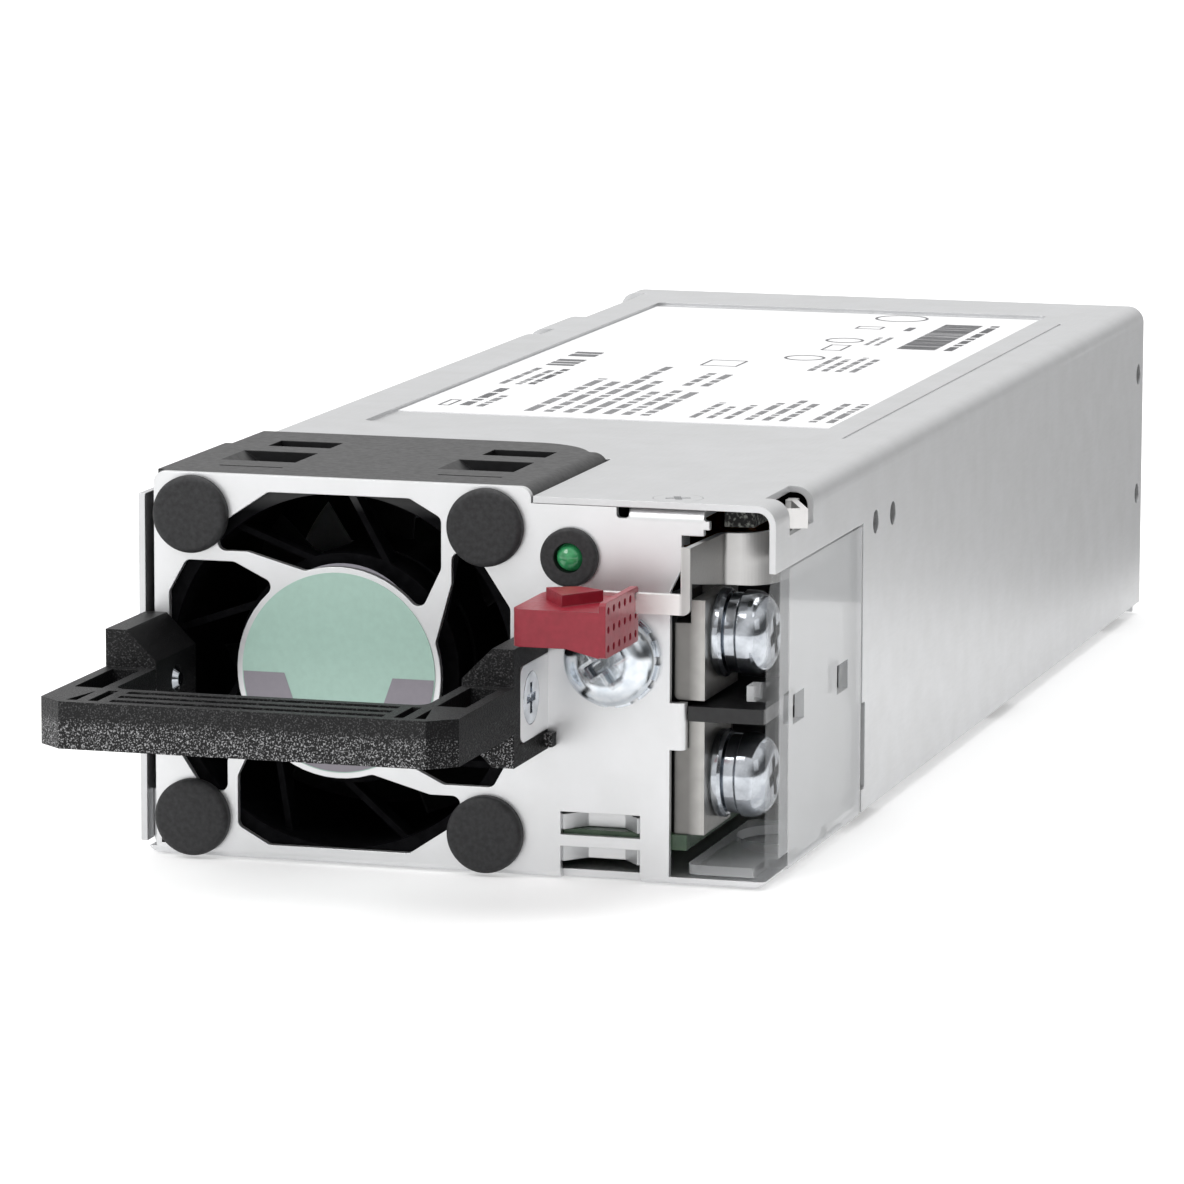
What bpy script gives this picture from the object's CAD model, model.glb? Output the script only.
"""Finish, print, small details, light and camera of a hot-swap server power supply. Metres."""

import math
import random

import bmesh
import bpy
from mathutils import Euler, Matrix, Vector


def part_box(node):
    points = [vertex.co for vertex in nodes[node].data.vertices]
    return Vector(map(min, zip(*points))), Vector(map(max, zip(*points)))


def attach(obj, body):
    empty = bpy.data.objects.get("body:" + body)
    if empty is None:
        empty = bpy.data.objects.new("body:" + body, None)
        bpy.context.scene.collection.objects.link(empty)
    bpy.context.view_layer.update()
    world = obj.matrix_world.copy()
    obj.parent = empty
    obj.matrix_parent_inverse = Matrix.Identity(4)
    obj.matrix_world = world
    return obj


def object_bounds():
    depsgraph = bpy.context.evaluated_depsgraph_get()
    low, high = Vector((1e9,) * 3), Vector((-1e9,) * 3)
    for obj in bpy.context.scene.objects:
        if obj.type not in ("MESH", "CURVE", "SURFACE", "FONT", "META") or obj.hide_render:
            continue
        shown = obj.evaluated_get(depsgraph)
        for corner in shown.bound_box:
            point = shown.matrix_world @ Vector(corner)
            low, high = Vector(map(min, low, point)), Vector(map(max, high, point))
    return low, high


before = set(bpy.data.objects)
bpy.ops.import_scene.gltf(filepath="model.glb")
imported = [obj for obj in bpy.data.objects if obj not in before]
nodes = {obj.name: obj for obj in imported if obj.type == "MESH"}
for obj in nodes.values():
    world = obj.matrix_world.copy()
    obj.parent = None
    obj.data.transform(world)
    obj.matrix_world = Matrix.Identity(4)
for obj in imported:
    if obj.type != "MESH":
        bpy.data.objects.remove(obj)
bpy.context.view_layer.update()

MM = 0.001

# Camera: the photograph's angle, found by matching the body's edges
CAMERA_AT = (0.19744, -0.71666, 0.13398)
CAMERA_TURN = (80.909, -0.147, 16.334)
CAMERA_LENS = 195.9
CAMERA_SENSOR = 36

# Radius by which edges look softened, on most pieces and on the ground screw with its nut
EDGE = 0.12 * MM
CROWN_EDGE = 0.6 * MM

# Places on the object between which a finish changes
HANDLE_GRAIN_Z = (19.2 * MM, 20.3 * MM)
DECK_Z = (36.6 * MM, 38.0 * MM)
BAR_FRONT_X = (24.8 * MM, 26.1 * MM)
COVER_WALL_X = (31.9 * MM, 32.3 * MM)
COVER_FRONT_Y = (-87.4 * MM, -86.6 * MM)
CREASE_X = (25.6 * MM, 26.0 * MM)
CREASE_FADE_X = (25.8 * MM, 31.6 * MM)

# X part of a face's normal, between which the finish changes to that of a right-hand side
RIGHT_PLASTIC = (0.3, 0.8)
RIGHT_SPRING = (0.3, 0.9)
RIGHT_COVER = (0.4, 0.9)


# Materials


def new_shader(name, colour, roughness, **sockets):
    """Principled material with even values on its own sockets."""
    mat = bpy.data.materials.new(name)
    mat.use_nodes = True
    bsdf = mat.node_tree.nodes["Principled BSDF"]
    bsdf.inputs["Base Color"].default_value = (*colour, 1)
    bsdf.inputs["Roughness"].default_value = roughness
    for socket, value in sockets.items():
        bsdf.inputs[socket.replace("_", " ")].default_value = value
    return mat


def drive(mat, value, socket):
    """Feeds a socket of the principled shader."""
    mat.node_tree.links.new(value, mat.node_tree.nodes["Principled BSDF"].inputs[socket])


def span(mat, source, limits):
    """Maps a value from the first pair of limits to the second, and stops at the ends."""
    node = mat.node_tree.nodes.new("ShaderNodeMapRange")
    for name, value in zip(("From Min", "From Max", "To Min", "To Max"), limits):
        node.inputs[name].default_value = value
    mat.node_tree.links.new(source, node.inputs["Value"])
    return node.outputs["Result"]


def ramp(mat, factor, low, high, colours):
    """Mixes two colours, from the first at low to the second at high."""
    node = mat.node_tree.nodes.new("ShaderNodeValToRGB")
    node.color_ramp.elements[0].position = low
    node.color_ramp.elements[1].position = high
    node.color_ramp.elements[0].color = (*colours[0], 1)
    node.color_ramp.elements[1].color = (*colours[1], 1)
    mat.node_tree.links.new(factor, node.inputs["Fac"])
    return node.outputs["Color"]


def times(mat, one, other):
    """Product of two values."""
    node = mat.node_tree.nodes.new("ShaderNodeMath")
    node.operation = "MULTIPLY"
    mat.node_tree.links.new(one, node.inputs[0])
    mat.node_tree.links.new(other, node.inputs[1])
    return node.outputs["Value"]


def part_of(mat, node_kind, output, axis):
    """One axis of a vector that a node of the given kind gives out."""
    tree = mat.node_tree
    source = tree.nodes.new(node_kind)
    split = tree.nodes.new("ShaderNodeSeparateXYZ")
    tree.links.new(source.outputs[output], split.inputs["Vector"])
    return split.outputs[axis]


def place(mat, axis):
    """Place of the surface point, in the object's own coordinates."""
    return part_of(mat, "ShaderNodeTexCoord", "Object", axis)


def facing(mat, axis):
    """Part of the face's normal along one axis."""
    return part_of(mat, "ShaderNodeNewGeometry", "True Normal", axis)


def noise(mat, scale, detail=3.0, stretch=(1, 1, 1)):
    """Noise in the object's own coordinates, in metres; scale is grains per metre."""
    tree = mat.node_tree
    coords = tree.nodes.new("ShaderNodeTexCoord")
    mapping = tree.nodes.new("ShaderNodeMapping")
    mapping.inputs["Scale"].default_value = stretch
    texture = tree.nodes.new("ShaderNodeTexNoise")
    texture.inputs["Scale"].default_value = scale
    texture.inputs["Detail"].default_value = detail
    tree.links.new(coords.outputs["Object"], mapping.inputs["Vector"])
    tree.links.new(mapping.outputs["Vector"], texture.inputs["Vector"])
    return texture.outputs["Fac"]


def set_colour(mat, output):
    drive(mat, output, "Base Color")


def set_roughness(mat, factor, low, high):
    drive(mat, span(mat, factor, (0.0, 1.0, low, high)), "Roughness")


def set_bump(mat, factor, depth, strength=1.0, edge=0.0):
    """Bump, on top of edges that look softened by the given radius."""
    bump = mat.node_tree.nodes.new("ShaderNodeBump")
    bump.inputs["Strength"].default_value = strength
    bump.inputs["Distance"].default_value = depth
    if edge:
        soft = mat.node_tree.nodes.new("ShaderNodeBevel")
        soft.samples = 4
        soft.inputs["Radius"].default_value = edge
        mat.node_tree.links.new(soft.outputs["Normal"], bump.inputs["Normal"])
    mat.node_tree.links.new(factor, bump.inputs["Height"])
    drive(mat, bump.outputs["Normal"], "Normal")


def rolled_surface(mat, grain):
    """Fine rolled grain in the gloss and the relief, stretched by the given scales."""
    set_roughness(mat, noise(mat, 2600, 3, grain), 0.30, 0.46)
    set_bump(mat, noise(mat, 3500, 2, grain), 0.01 * MM, 0.5, EDGE)


def sheet_metal(name, dark, light):
    """Galvanised sheet: satin, with a fine rolled grain and a faint cloudy spangle."""
    mat = new_shader(name, light, 0.4, Metallic=0.85)
    set_colour(mat, ramp(mat, noise(mat, 240, 5), 0.3, 0.7, (dark, light)))
    rolled_surface(mat, (1, 0.12, 1))
    return mat


def plated_surface(mat, roughness, edge=EDGE):
    """Slight unevenness of plating, in the gloss and the relief."""
    set_roughness(mat, noise(mat, 900, 3), roughness * 0.7, roughness * 1.3)
    set_bump(mat, noise(mat, 1400, 2), 0.008 * MM, 0.4, edge)


def plated(name, dark, light, roughness, edge=EDGE):
    """Bright plated metal with a slight unevenness."""
    mat = new_shader(name, light, roughness, Metallic=1.0)
    set_colour(mat, ramp(mat, noise(mat, 700, 3), 0.35, 0.65, (dark, light)))
    plated_surface(mat, roughness, edge)
    return mat


def moulded(name, dark, light, roughness, grains=2500, depth=0.03 * MM, **sockets):
    """Moulded plastic or rubber with a fine eroded texture, of so many grains per metre."""
    mat = new_shader(name, light, roughness, **sockets)
    set_colour(mat, ramp(mat, noise(mat, grains * 0.6, 4), 0.35, 0.7, (dark, light)))
    set_roughness(mat, noise(mat, grains, 3), roughness - 0.1, roughness + 0.1)
    set_bump(mat, noise(mat, grains, 4), depth, 0.8, EDGE)
    return mat


def foam():
    """Open foam: light grains on a dark ground."""
    dark, light = (0.006, 0.006, 0.006), (0.20, 0.21, 0.19)
    mat = new_shader("foam", dark, 0.85)
    set_colour(mat, ramp(mat, noise(mat, 2300, 2), 0.50, 0.66, (dark, light)))
    set_bump(mat, noise(mat, 2300, 3), 0.2 * MM, 1.0, EDGE)
    return mat


def handle_plastic():
    """Eroded black plastic, whose grain shows most on the lower half of the bar.

    Right-hand sides show hardly any grain and little gloss.
    """
    dark, light = (0.006, 0.006, 0.0065), (0.50, 0.50, 0.51)
    mat = new_shader("handle_plastic", dark, 0.42)
    lower = span(mat, place(mat, "Z"), (*HANDLE_GRAIN_Z, 1.0, 0.16))
    shade = span(mat, facing(mat, "X"), (*RIGHT_PLASTIC, 1.0, 0.12))
    grain = span(mat, noise(mat, 6200, 2), (0.53, 0.70, 0.0, 1.0))
    set_colour(mat, ramp(mat, times(mat, grain, times(mat, lower, shade)), 0.0, 1.0, (dark, light)))
    drive(mat, span(mat, facing(mat, "X"), (*RIGHT_PLASTIC, 0.24, 0.03)), "Specular IOR Level")
    set_bump(mat, noise(mat, 5200, 3), 0.1 * MM, 1.0, EDGE)
    return mat


def spring_steel():
    """Bright strip whose right-hand faces look darker, most so just past its crease."""
    dark, light = (0.22, 0.216, 0.21), (0.88, 0.87, 0.86)
    mat = new_shader("spring_steel", (0.76, 0.755, 0.745), 0.4, Metallic=0.85)
    rolled_surface(mat, (0.1, 1, 1))
    shade = span(mat, facing(mat, "X"), (*RIGHT_SPRING, 1.0, 0.30))
    x = place(mat, "X")
    past = span(mat, x, (*CREASE_X, 0.0, 1.0))
    dip = times(mat, past, span(mat, x, (*CREASE_FADE_X, 0.66, 0.0)))
    cloud = span(mat, noise(mat, 240, 5), (0.3, 0.7, 0.85, 1.0))
    cloud = times(mat, cloud, span(mat, dip, (0.0, 1.0, 1.0, 0.0)))
    set_colour(mat, ramp(mat, times(mat, cloud, shade), 0.0, 1.0, (dark, light)))
    return mat


def tinned_bar():
    """Tinned copper whose front darkens to the left, away from the open side of the bay."""
    dark, light = (0.10, 0.097, 0.092), (0.60, 0.59, 0.57)
    mat = new_shader("tinned_copper", (0.27, 0.262, 0.25), 0.34, Metallic=1.0)
    plated_surface(mat, 0.34)
    across = span(mat, place(mat, "X"), (*BAR_FRONT_X, 0.18, 0.72))
    cloud = span(mat, noise(mat, 700, 3), (0.3, 0.7, 0.85, 1.0))
    set_colour(mat, ramp(mat, times(mat, across, cloud), 0.0, 1.0, (dark, light)))
    return mat


def clear_plastic():
    """Thin clear sheet that mostly mirrors the white room at this flat angle.

    The strip along its front edge stays clearer than the rest.
    """
    mat = new_shader("clear_plastic", (0.80, 0.815, 0.83), 0.10, Alpha=0.46, Coat_Weight=0.5)
    set_roughness(mat, noise(mat, 500, 2), 0.07, 0.14)
    set_bump(mat, noise(mat, 220, 2), 0.02 * MM, 0.2)
    solid = span(mat, facing(mat, "X"), (*RIGHT_COVER, 0.36, 0.56))
    wall = span(mat, place(mat, "X"), (*COVER_WALL_X, 0.0, 1.0))
    front_strip = times(mat, wall, span(mat, place(mat, "Y"), (*COVER_FRONT_Y, 1.0, 0.0)))
    drive(mat, times(mat, solid, span(mat, front_strip, (0.0, 1.0, 1.0, 0.16))), "Alpha")
    return mat


def lamp_lens():
    """Green lens that is hardly lit."""
    glow = (0.05, 0.8, 0.25, 1)
    mat = new_shader(
        "lamp_lens", (0.02, 0.34, 0.10), 0.12, Coat_Weight=0.6, Emission_Color=glow, Emission_Strength=0.03
    )
    set_colour(mat, ramp(mat, noise(mat, 900, 2), 0.3, 0.7, ((0.025, 0.17, 0.065), (0.06, 0.39, 0.15))))
    return mat


def printed(name, colour, roughness=0.45):
    """Ink or film: nearly even, with a trace of paper grain."""
    mat = new_shader(name, colour, roughness)
    darker = tuple(c * 0.94 for c in colour)
    set_colour(mat, ramp(mat, noise(mat, 1500, 2), 0.3, 0.7, (darker, colour)))
    return mat


SHEET = sheet_metal("galvanised_tray", (0.755, 0.76, 0.765), (0.79, 0.795, 0.805))
LID_SHEET = sheet_metal("galvanised_lid", (0.63, 0.635, 0.64), (0.67, 0.675, 0.685))
SPRING = spring_steel()
ZINC = plated("blue_zinc", (0.60, 0.65, 0.70), (0.76, 0.79, 0.82), 0.14, CROWN_EDGE)
NICKEL = plated("nickel", (0.44, 0.465, 0.50), (0.62, 0.65, 0.69), 0.12)
BAR = tinned_bar()
BLACK = handle_plastic()
BLOCK = moulded("block_plastic", (0.006, 0.006, 0.007), (0.014, 0.014, 0.015), 0.38, 1600, 0.01 * MM)
FAN_BLACK = moulded("fan_plastic", (0.003, 0.003, 0.0035), (0.007, 0.007, 0.008), 0.42, 1500, 0.02 * MM)
ROTOR_BLACK = moulded(
    "rotor_plastic", (0.006, 0.006, 0.006), (0.012, 0.012, 0.013), 0.45, Specular_IOR_Level=0.25
)
RUBBER = moulded("rubber", (0.011, 0.011, 0.012), (0.026, 0.026, 0.028), 0.62, 3200, 0.04 * MM)
FOAM = foam()
RED = moulded("red_plastic", (0.25, 0.011, 0.024), (0.31, 0.015, 0.032), 0.33, 1800, 0.01 * MM)
CLEAR = clear_plastic()
LABEL = printed("label_film", (0.92, 0.92, 0.925), 0.40)
HUB_FILM = printed("hub_film", (0.42, 0.61, 0.53), 0.30)
HUB_BAND = printed("hub_band", (0.28, 0.26, 0.295), 0.30)
CUP_FILM = printed("cup_film", (0.52, 0.50, 0.56), 0.35)
INK = printed("grey_ink", (0.10, 0.10, 0.11))
INK_LIGHT = printed("light_ink", (0.26, 0.26, 0.27))
LENS = lamp_lens()
BOARD = moulded("solder_mask", (0.030, 0.065, 0.035), (0.065, 0.115, 0.065), 0.30, 800, 0.01 * MM)
GOLD = plated("gold_plate", (0.70, 0.48, 0.16), (0.85, 0.62, 0.24), 0.20)
BRONZE = plated("bronze", (0.35, 0.24, 0.11), (0.50, 0.36, 0.18), 0.35)
COPPER = plated("copper_wire", (0.36, 0.14, 0.06), (0.52, 0.24, 0.11), 0.30)
FERRITE = moulded("ferrite", (0.025, 0.025, 0.028), (0.05, 0.05, 0.055), 0.55)
ALUMINIUM = plated("aluminium", (0.56, 0.57, 0.58), (0.72, 0.73, 0.74), 0.32)
FILM = moulded("polyester_film", (0.62, 0.60, 0.50), (0.72, 0.70, 0.60), 0.40)
STEEL = plated("turned_steel", (0.44, 0.44, 0.45), (0.60, 0.60, 0.61), 0.28)

# The fan's deck is glossier than its duct, and the tab's side glossier than its front
deck_gloss = span(FAN_BLACK, place(FAN_BLACK, "Z"), (*DECK_Z, 0.02, 0.5))
drive(FAN_BLACK, deck_gloss, "Specular IOR Level")
side_gloss = span(RED, facing(RED, "X"), (*RIGHT_PLASTIC, 0.5, 1.0))
drive(RED, side_gloss, "Specular IOR Level")

FINISH = {
    "base_tray": SHEET, "lid": LID_SHEET, "lid_screw": LID_SHEET, "lid_label": LABEL,
    "fan_frame": FAN_BLACK, "fan_bearing": BRONZE, "fan_stator": COPPER, "fan_rotor": ROTOR_BLACK,
    "fan_magnet": FERRITE, "fan_shaft": STEEL, "fan_bumpers": RUBBER, "hub_label": HUB_FILM,
    "handle": BLACK, "handle_screws": NICKEL, "latch_tab": RED, "latch_spring": SPRING,
    "foam_pad": FOAM, "led_bezel": RUBBER, "status_led": LENS, "ground_screw": ZINC,
    "ground_washer": NICKEL, "ground_nut": ZINC, "terminal_bar_upper": BAR, "terminal_bar_lower": BAR,
    "terminal_block": BLOCK, "terminal_screws": NICKEL, "terminal_flat_washers": NICKEL,
    "terminal_split_washers": NICKEL, "terminal_cover": CLEAR, "main_board": BOARD,
    "card_edge_contacts": GOLD, "standoffs": STEEL, "board_screws": NICKEL, "insulator_sheet": FILM,
    "bulk_capacitors": ALUMINIUM, "output_capacitors": ALUMINIUM, "input_choke": COPPER,
    "transformer_core": FERRITE, "transformer_winding": COPPER, "output_choke": COPPER,
    "heat_sink_left": ALUMINIUM, "heat_sink_right": ALUMINIUM, "power_transistors": FERRITE,
    "output_bus_bars": BAR, "control_board": BOARD, "fan_connector": FILM,
}


def dress_nodes():
    for name, mat in FINISH.items():
        slots = nodes[name].data.materials
        slots.clear()
        slots.append(mat)


# Pieces made of mesh


def new_mesh_object(name, bm, mat):
    """Object made of a finished bmesh, in one material."""
    mesh = bpy.data.meshes.new(name)
    bm.to_mesh(mesh)
    bm.free()
    mesh.materials.append(mat)
    obj = bpy.data.objects.new(name, mesh)
    bpy.context.scene.collection.objects.link(obj)
    return obj


def new_piece(name, bm, mat, body="chassis"):
    """Piece of the object that moves with one of its bodies."""
    obj = new_mesh_object(name, bm, mat)
    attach(obj, body)


def add_quad(bm, corners):
    bm.faces.new([bm.verts.new(c) for c in corners])


def add_bar(bm, x0, y0, width, height, z):
    """Flat printed bar lying in the lid's plane."""
    add_quad(bm, [(x0, y0, z), (x0 + width, y0, z), (x0 + width, y0 + height, z), (x0, y0 + height, z)])


# Print on the lid's label: plain bars, stripes and rings that stand for its small print, in mm

# Height of the print over its film
PRINT_LIFT = 0.03 * MM

# Place in y of the front panel's face
FRONT = -92.9

# Rows of small bars: x of the first row, y from and to (from the front face), rows, pitch, height
DARK_ROWS = (
    (-20.9, 68.5, 84.5, 1, 2.0, 1.2),
    (-19.0, 88.8, 104.0, 1, 2.0, 0.9),
    (-22.2, 106.8, 123.0, 1, 2.0, 3.4),
    (19.9, 134.6, 161.3, 1, 2.0, 1.1),
)
LIGHT_ROWS = (
    (-18.8, 68.0, 78.3, 1, 2.0, 0.9),
    (-22.4, 88.4, 104.3, 2, 2.0, 0.8),
    (-12.5, 66.0, 100.0, 4, 2.3, 1.1),
    (-3.3, 66.0, 90.0, 3, 2.2, 1.1),
    (-8.0, 98.0, 110.0, 1, 2.0, 1.0),
    (-1.5, 93.0, 105.5, 2, 2.2, 1.0),
    (6.8, 66.0, 79.5, 3, 2.0, 0.8),
    (13.2, 66.0, 86.0, 3, 2.0, 0.9),
    (20.6, 66.0, 86.0, 2, 2.0, 0.9),
    (8.9, 110.8, 126.0, 4, 1.7, 0.8),
    (9.2, 137.4, 147.2, 2, 1.3, 0.6),
)

# Shares of a row's height or length: width of a bar, gap after it, gap after a word, ragged end
BAR_WIDTH = (0.35, 0.7)
BAR_GAP = 0.22
WORD_GAP = 0.7
WORD_BARS = (2, 7)
RAGGED = 0.2

# Rings by x, y and radius; boxes and the striped field by x, y, width and length
RINGS = ((5.6, 122.8, 2.5), (5.9, 141.3, 2.4), (7.2, 165.8, 3.4))
BOXES = ((-23.3, 67.9, 1.4, 5.0), (5.4, 131.0, 2.6, 5.6), (-4.6, 112.0, 4.6, 5.6), (4.0, 153.8, 3.4, 2.6))
DARK_BOX = (10.4, 153.1, 0.9, 3.6)
STRIPES = (14.0, 134.8, 4.8, 26.4)
RING_LINE = 0.35
BOX_LINE = 0.25
STRIPE_WIDTHS = (0.25, 0.4, 0.65)
STRIPE_GAPS = (0.2, 0.3, 0.45)


def text_rows(bm, rng, rows, z):
    """Rows of short bars in word-like groups, read along the label's long side."""
    for x0, start, end, count, pitch, height in rows:
        for row in range(count):
            y = start
            stop = end - rng.uniform(0, RAGGED) * (end - start) if count > 1 else end
            while y < stop:
                for _ in range(rng.randint(*WORD_BARS)):
                    width = height * rng.uniform(*BAR_WIDTH)
                    if y + width < stop:
                        add_bar(bm, (x0 + row * pitch) * MM, (FRONT + y) * MM, height * MM, width * MM, z)
                    y += width + BAR_GAP * height
                y += WORD_GAP * height


def add_ring(bm, x, y, z, outer, inner, steps=40):
    loops = []
    for radius in (outer, inner):
        angles = [2 * math.pi * i / steps for i in range(steps)]
        loops.append([bm.verts.new((x + radius * math.cos(a), y + radius * math.sin(a), z)) for a in angles])
    for i in range(steps):
        j = (i + 1) % steps
        bm.faces.new((loops[0][i], loops[0][j], loops[1][j], loops[1][i]))


def add_frame(bm, x, y, width, length, line, z):
    add_bar(bm, x, y, line, length, z)
    add_bar(bm, x + width - line, y, line, length, z)
    add_bar(bm, x + line, y, width - 2 * line, line, z)
    add_bar(bm, x + line, y + length - line, width - 2 * line, line, z)


def label_print():
    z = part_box("lid_label")[1].z + PRINT_LIFT
    rng = random.Random(7)
    dark = bmesh.new()
    light = bmesh.new()
    text_rows(dark, rng, DARK_ROWS, z)
    text_rows(light, rng, LIGHT_ROWS, z)
    for x, y, radius in RINGS:
        add_ring(dark, x * MM, (FRONT + y) * MM, z, radius * MM, (radius - RING_LINE) * MM)
    for x, y, width, length in BOXES:
        add_frame(dark, x * MM, (FRONT + y) * MM, width * MM, length * MM, BOX_LINE * MM, z)
    x, y, width, length = DARK_BOX
    add_bar(dark, x * MM, (FRONT + y) * MM, width * MM, length * MM, z)
    x, y, width, length = STRIPES
    end = y + length
    while y < end:
        thick = rng.choice(STRIPE_WIDTHS)
        add_bar(dark, x * MM, (FRONT + y) * MM, width * MM, thick * MM, z)
        y += thick + rng.choice(STRIPE_GAPS)
    new_piece("label_print_dark", dark, INK)
    new_piece("label_print_light", light, INK_LIGHT)


# Print on the hub: its lower half is a darker band with a notch in the top edge

# Right side of the notch and top edge from the hub's centre, and margin to the film's rim, in mm
BAND_NOTCH = ((5.9, 0.0), (4.8, -3.1))
BAND_TOP = -0.25
BAND_MARGIN = 0.1


def facing_front(points, y):
    """Flat face in the xz plane that looks to the front."""
    bm = bmesh.new()
    face = bm.faces.new([bm.verts.new((x, y, z)) for x, z in points])
    face.normal_update()
    if face.normal.y > 0:
        face.normal_flip()
    return bm


def hub_print():
    low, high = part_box("hub_label")
    centre = (low + high) / 2
    radius = (high.x - low.x) / 2 - BAND_MARGIN * MM
    notch = [(x * MM, (z + BAND_TOP) * MM) for x, z in BAND_NOTCH]
    start = math.asin(BAND_TOP * MM / radius)
    steps = 48
    arc = []
    for i in range(steps + 1):
        angle = start - (math.pi + 2 * start) * i / steps
        arc.append((radius * math.cos(angle), radius * math.sin(angle)))
    points = notch[::-1] + arc + [(-x, z) for x, z in notch]
    band = facing_front([(centre.x + x, centre.z + z) for x, z in points], low.y - PRINT_LIFT)
    new_piece("hub_print_band", band, HUB_BAND)


# Pale film on the motor cup, seen past the hub's upper edge

# Its centre from the hub's centre in x and z, its radius, and its depth behind the front panel, in mm
CUP_FILM_AT = (-0.4, 2.2)
CUP_FILM_R = 8.8
CUP_FRONT = 3.2


def cup_film():
    low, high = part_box("hub_label")
    centre = (low + high) / 2
    x0 = centre.x + CUP_FILM_AT[0] * MM
    z0 = centre.z + CUP_FILM_AT[1] * MM
    steps = 64
    angles = [2 * math.pi * i / steps for i in range(steps)]
    points = [(x0 + CUP_FILM_R * MM * math.cos(a), z0 + CUP_FILM_R * MM * math.sin(a)) for a in angles]
    new_piece("motor_cup_film", facing_front(points, (FRONT + CUP_FRONT) * MM - PRINT_LIFT), CUP_FILM)


# Room and light

# World: its strength, its darkest strength, where to the right it falls to that, and how high up it is back
WORLD_LEVEL = 0.8
WORLD_DARK = 0.08
DARK_SIDE = (0.05, 0.75)
LIGHT_AGAIN = (0.30, 0.62)

# Floor and the card on it: tones, gap under the object, rays that see the glow, corners
FLOOR_WHITE = 0.80
FLOOR_GLOW = 0.35
FLOOR_GAP = 0.2 * MM
FLOOR_RAYS = ("Is Camera Ray", "Is Glossy Ray", "Is Transmission Ray")
FLOOR = ((-6, -6), (6, -6), (6, 6), (-6, 6))
CARD_GREY = 0.44
CARD_GAP = 0.1 * MM
CARD_RAYS = ("Is Camera Ray",)
CARD = ((0.050, 0.09), (0.9, 0.09), (0.9, 0.9), (-0.085, 0.9))

# Lamps: name, place, size, power
LAMPS = (
    ("key", (-0.9, -1.1, 1.3), (0.9, 0.9), 13),
    ("fill", (1.4, -0.9, 0.8), (0.8, 0.8), 1),
    ("top", (0.1, 0.3, 1.6), (1.4, 1.4), 11),
)


def area_light(name, at, size, power):
    """Square lamp that looks at the origin."""
    data = bpy.data.lights.new(name, "AREA")
    data.shape = "RECTANGLE"
    data.size, data.size_y = size
    data.energy = power
    lamp = bpy.data.objects.new(name, data)
    lamp.location = at
    lamp.rotation_euler = (-Vector(at)).to_track_quat("-Z", "Y").to_euler()
    bpy.context.scene.collection.objects.link(lamp)


def table_white(name, mirrored, rays):
    """White table as the camera sees it, in its shadows too, with another tone in what mirrors it."""
    mat = new_shader(name, (mirrored,) * 3, 0.9, Emission_Color=(1, 1, 1, 1))
    path = mat.node_tree.nodes.new("ShaderNodeLightPath")
    tones = ((mirrored,) * 3, (FLOOR_WHITE,) * 3)
    set_colour(mat, ramp(mat, path.outputs["Is Camera Ray"], 0.0, 1.0, tones))
    total = path.outputs[rays[0]]
    for ray in rays[1:]:
        add = mat.node_tree.nodes.new("ShaderNodeMath")
        mat.node_tree.links.new(total, add.inputs[0])
        mat.node_tree.links.new(path.outputs[ray], add.inputs[1])
        total = add.outputs["Value"]
    drive(mat, span(mat, total, (0.0, 1.0, 0.0, FLOOR_GLOW)), "Emission Strength")
    return mat


def flat_sheet(name, corners, level, mat):
    """One level face of the stage."""
    bm = bmesh.new()
    add_quad(bm, [(x, y, level) for x, y in corners])
    return new_mesh_object(name, bm, mat)


def table():
    """White floor, and a card on it that makes the long side wall mirror less white."""
    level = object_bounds()[0][2]
    floor = flat_sheet("floor", FLOOR, level - FLOOR_GAP, table_white("floor_white", FLOOR_WHITE, FLOOR_RAYS))
    card = flat_sheet("grey_card", CARD, level - CARD_GAP, table_white("card_grey", CARD_GREY, CARD_RAYS))


def studio():
    """White room that falls off to a dark zone on the right, near the horizon."""
    world = bpy.data.worlds.new("studio")
    world.use_nodes = True
    bpy.context.scene.world = world
    background = world.node_tree.nodes["Background"]
    background.inputs["Color"].default_value = (1, 1, 1, 1)
    to_right = part_of(world, "ShaderNodeTexCoord", "Generated", "X")
    upwards = part_of(world, "ShaderNodeTexCoord", "Generated", "Z")
    near_horizon = span(world, to_right, (*DARK_SIDE, WORLD_LEVEL, WORLD_DARK))
    strength = span(world, upwards, (*LIGHT_AGAIN, 0.0, WORLD_LEVEL))
    world.node_tree.links.new(near_horizon, strength.node.inputs["To Min"])
    world.node_tree.links.new(strength, background.inputs["Strength"])


def room():
    table()
    studio()
    for lamp in LAMPS:
        area_light(*lamp)


def camera():
    data = bpy.data.cameras.new("camera")
    data.lens = CAMERA_LENS
    data.sensor_width = CAMERA_SENSOR
    eye = bpy.data.objects.new("camera", data)
    eye.location = CAMERA_AT
    eye.rotation_euler = Euler([math.radians(a) for a in CAMERA_TURN])
    bpy.context.scene.collection.objects.link(eye)
    bpy.context.scene.camera = eye


bpy.context.scene.view_settings.view_transform = "Standard"
dress_nodes()
label_print()
hub_print()
cup_film()
room()
camera()
